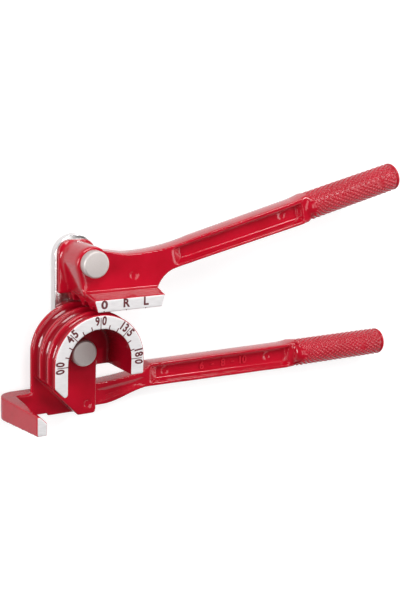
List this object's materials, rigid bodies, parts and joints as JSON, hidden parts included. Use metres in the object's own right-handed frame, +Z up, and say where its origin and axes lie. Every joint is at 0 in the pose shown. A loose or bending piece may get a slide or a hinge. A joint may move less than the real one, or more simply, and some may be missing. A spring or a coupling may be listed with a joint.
{
  "type": "tube bender",
  "caption": "Hand tube bender: a cast lever handle with a grooved bending wheel and tube hook, linked to a second lever handle with a matching forming shoe.",
  "frame": {"origin": "where the bending wheel's axis meets the bench, at the wheel pin's flat tail, with the tool on its back", "axes": "+X along the main handle from the wheel to its grip, +Y from the wheel to the shoe, +Z up from the bench along the pins"},
  "size_m": [0.2591, 0.1323, 0.048],
  "materials": {
    "red_paint": "glossy red paint on die-cast aluminium, with the machined scale faces left bare",
    "plated_steel": "bright plated strap steel",
    "pin_steel": "turned steel, faced head",
    "washer_steel": "plain steel"
  },
  "bodies": {
    "main_handle": {"main_handle": "red_paint", "wheel_pin": "pin_steel", "wheel_thrust_washer": "washer_steel", "wheel_back_washer": "washer_steel", "wheel_retaining_ring": "washer_steel"},
    "link": {"link_plate": "plated_steel", "shoe_pin": "pin_steel", "shoe_thrust_washer": "washer_steel", "shoe_back_washer": "washer_steel", "shoe_retaining_ring": "washer_steel"},
    "shoe_handle": {"shoe_handle": "red_paint"}
  },
  "joints": [
    {"name": "link_swing", "type": "hinge", "parent": "main_handle", "child": "link", "pos_m": [0, 0, 0.0075], "axis": [0, 0, 1], "range_deg": [-90, 90]},
    {"name": "shoe_pivot", "type": "hinge", "parent": "link", "child": "shoe_handle", "pos_m": [0, 0.0505, 0.0214], "axis": [0, 0, 1], "range_deg": [0, 120]}
  ]
}
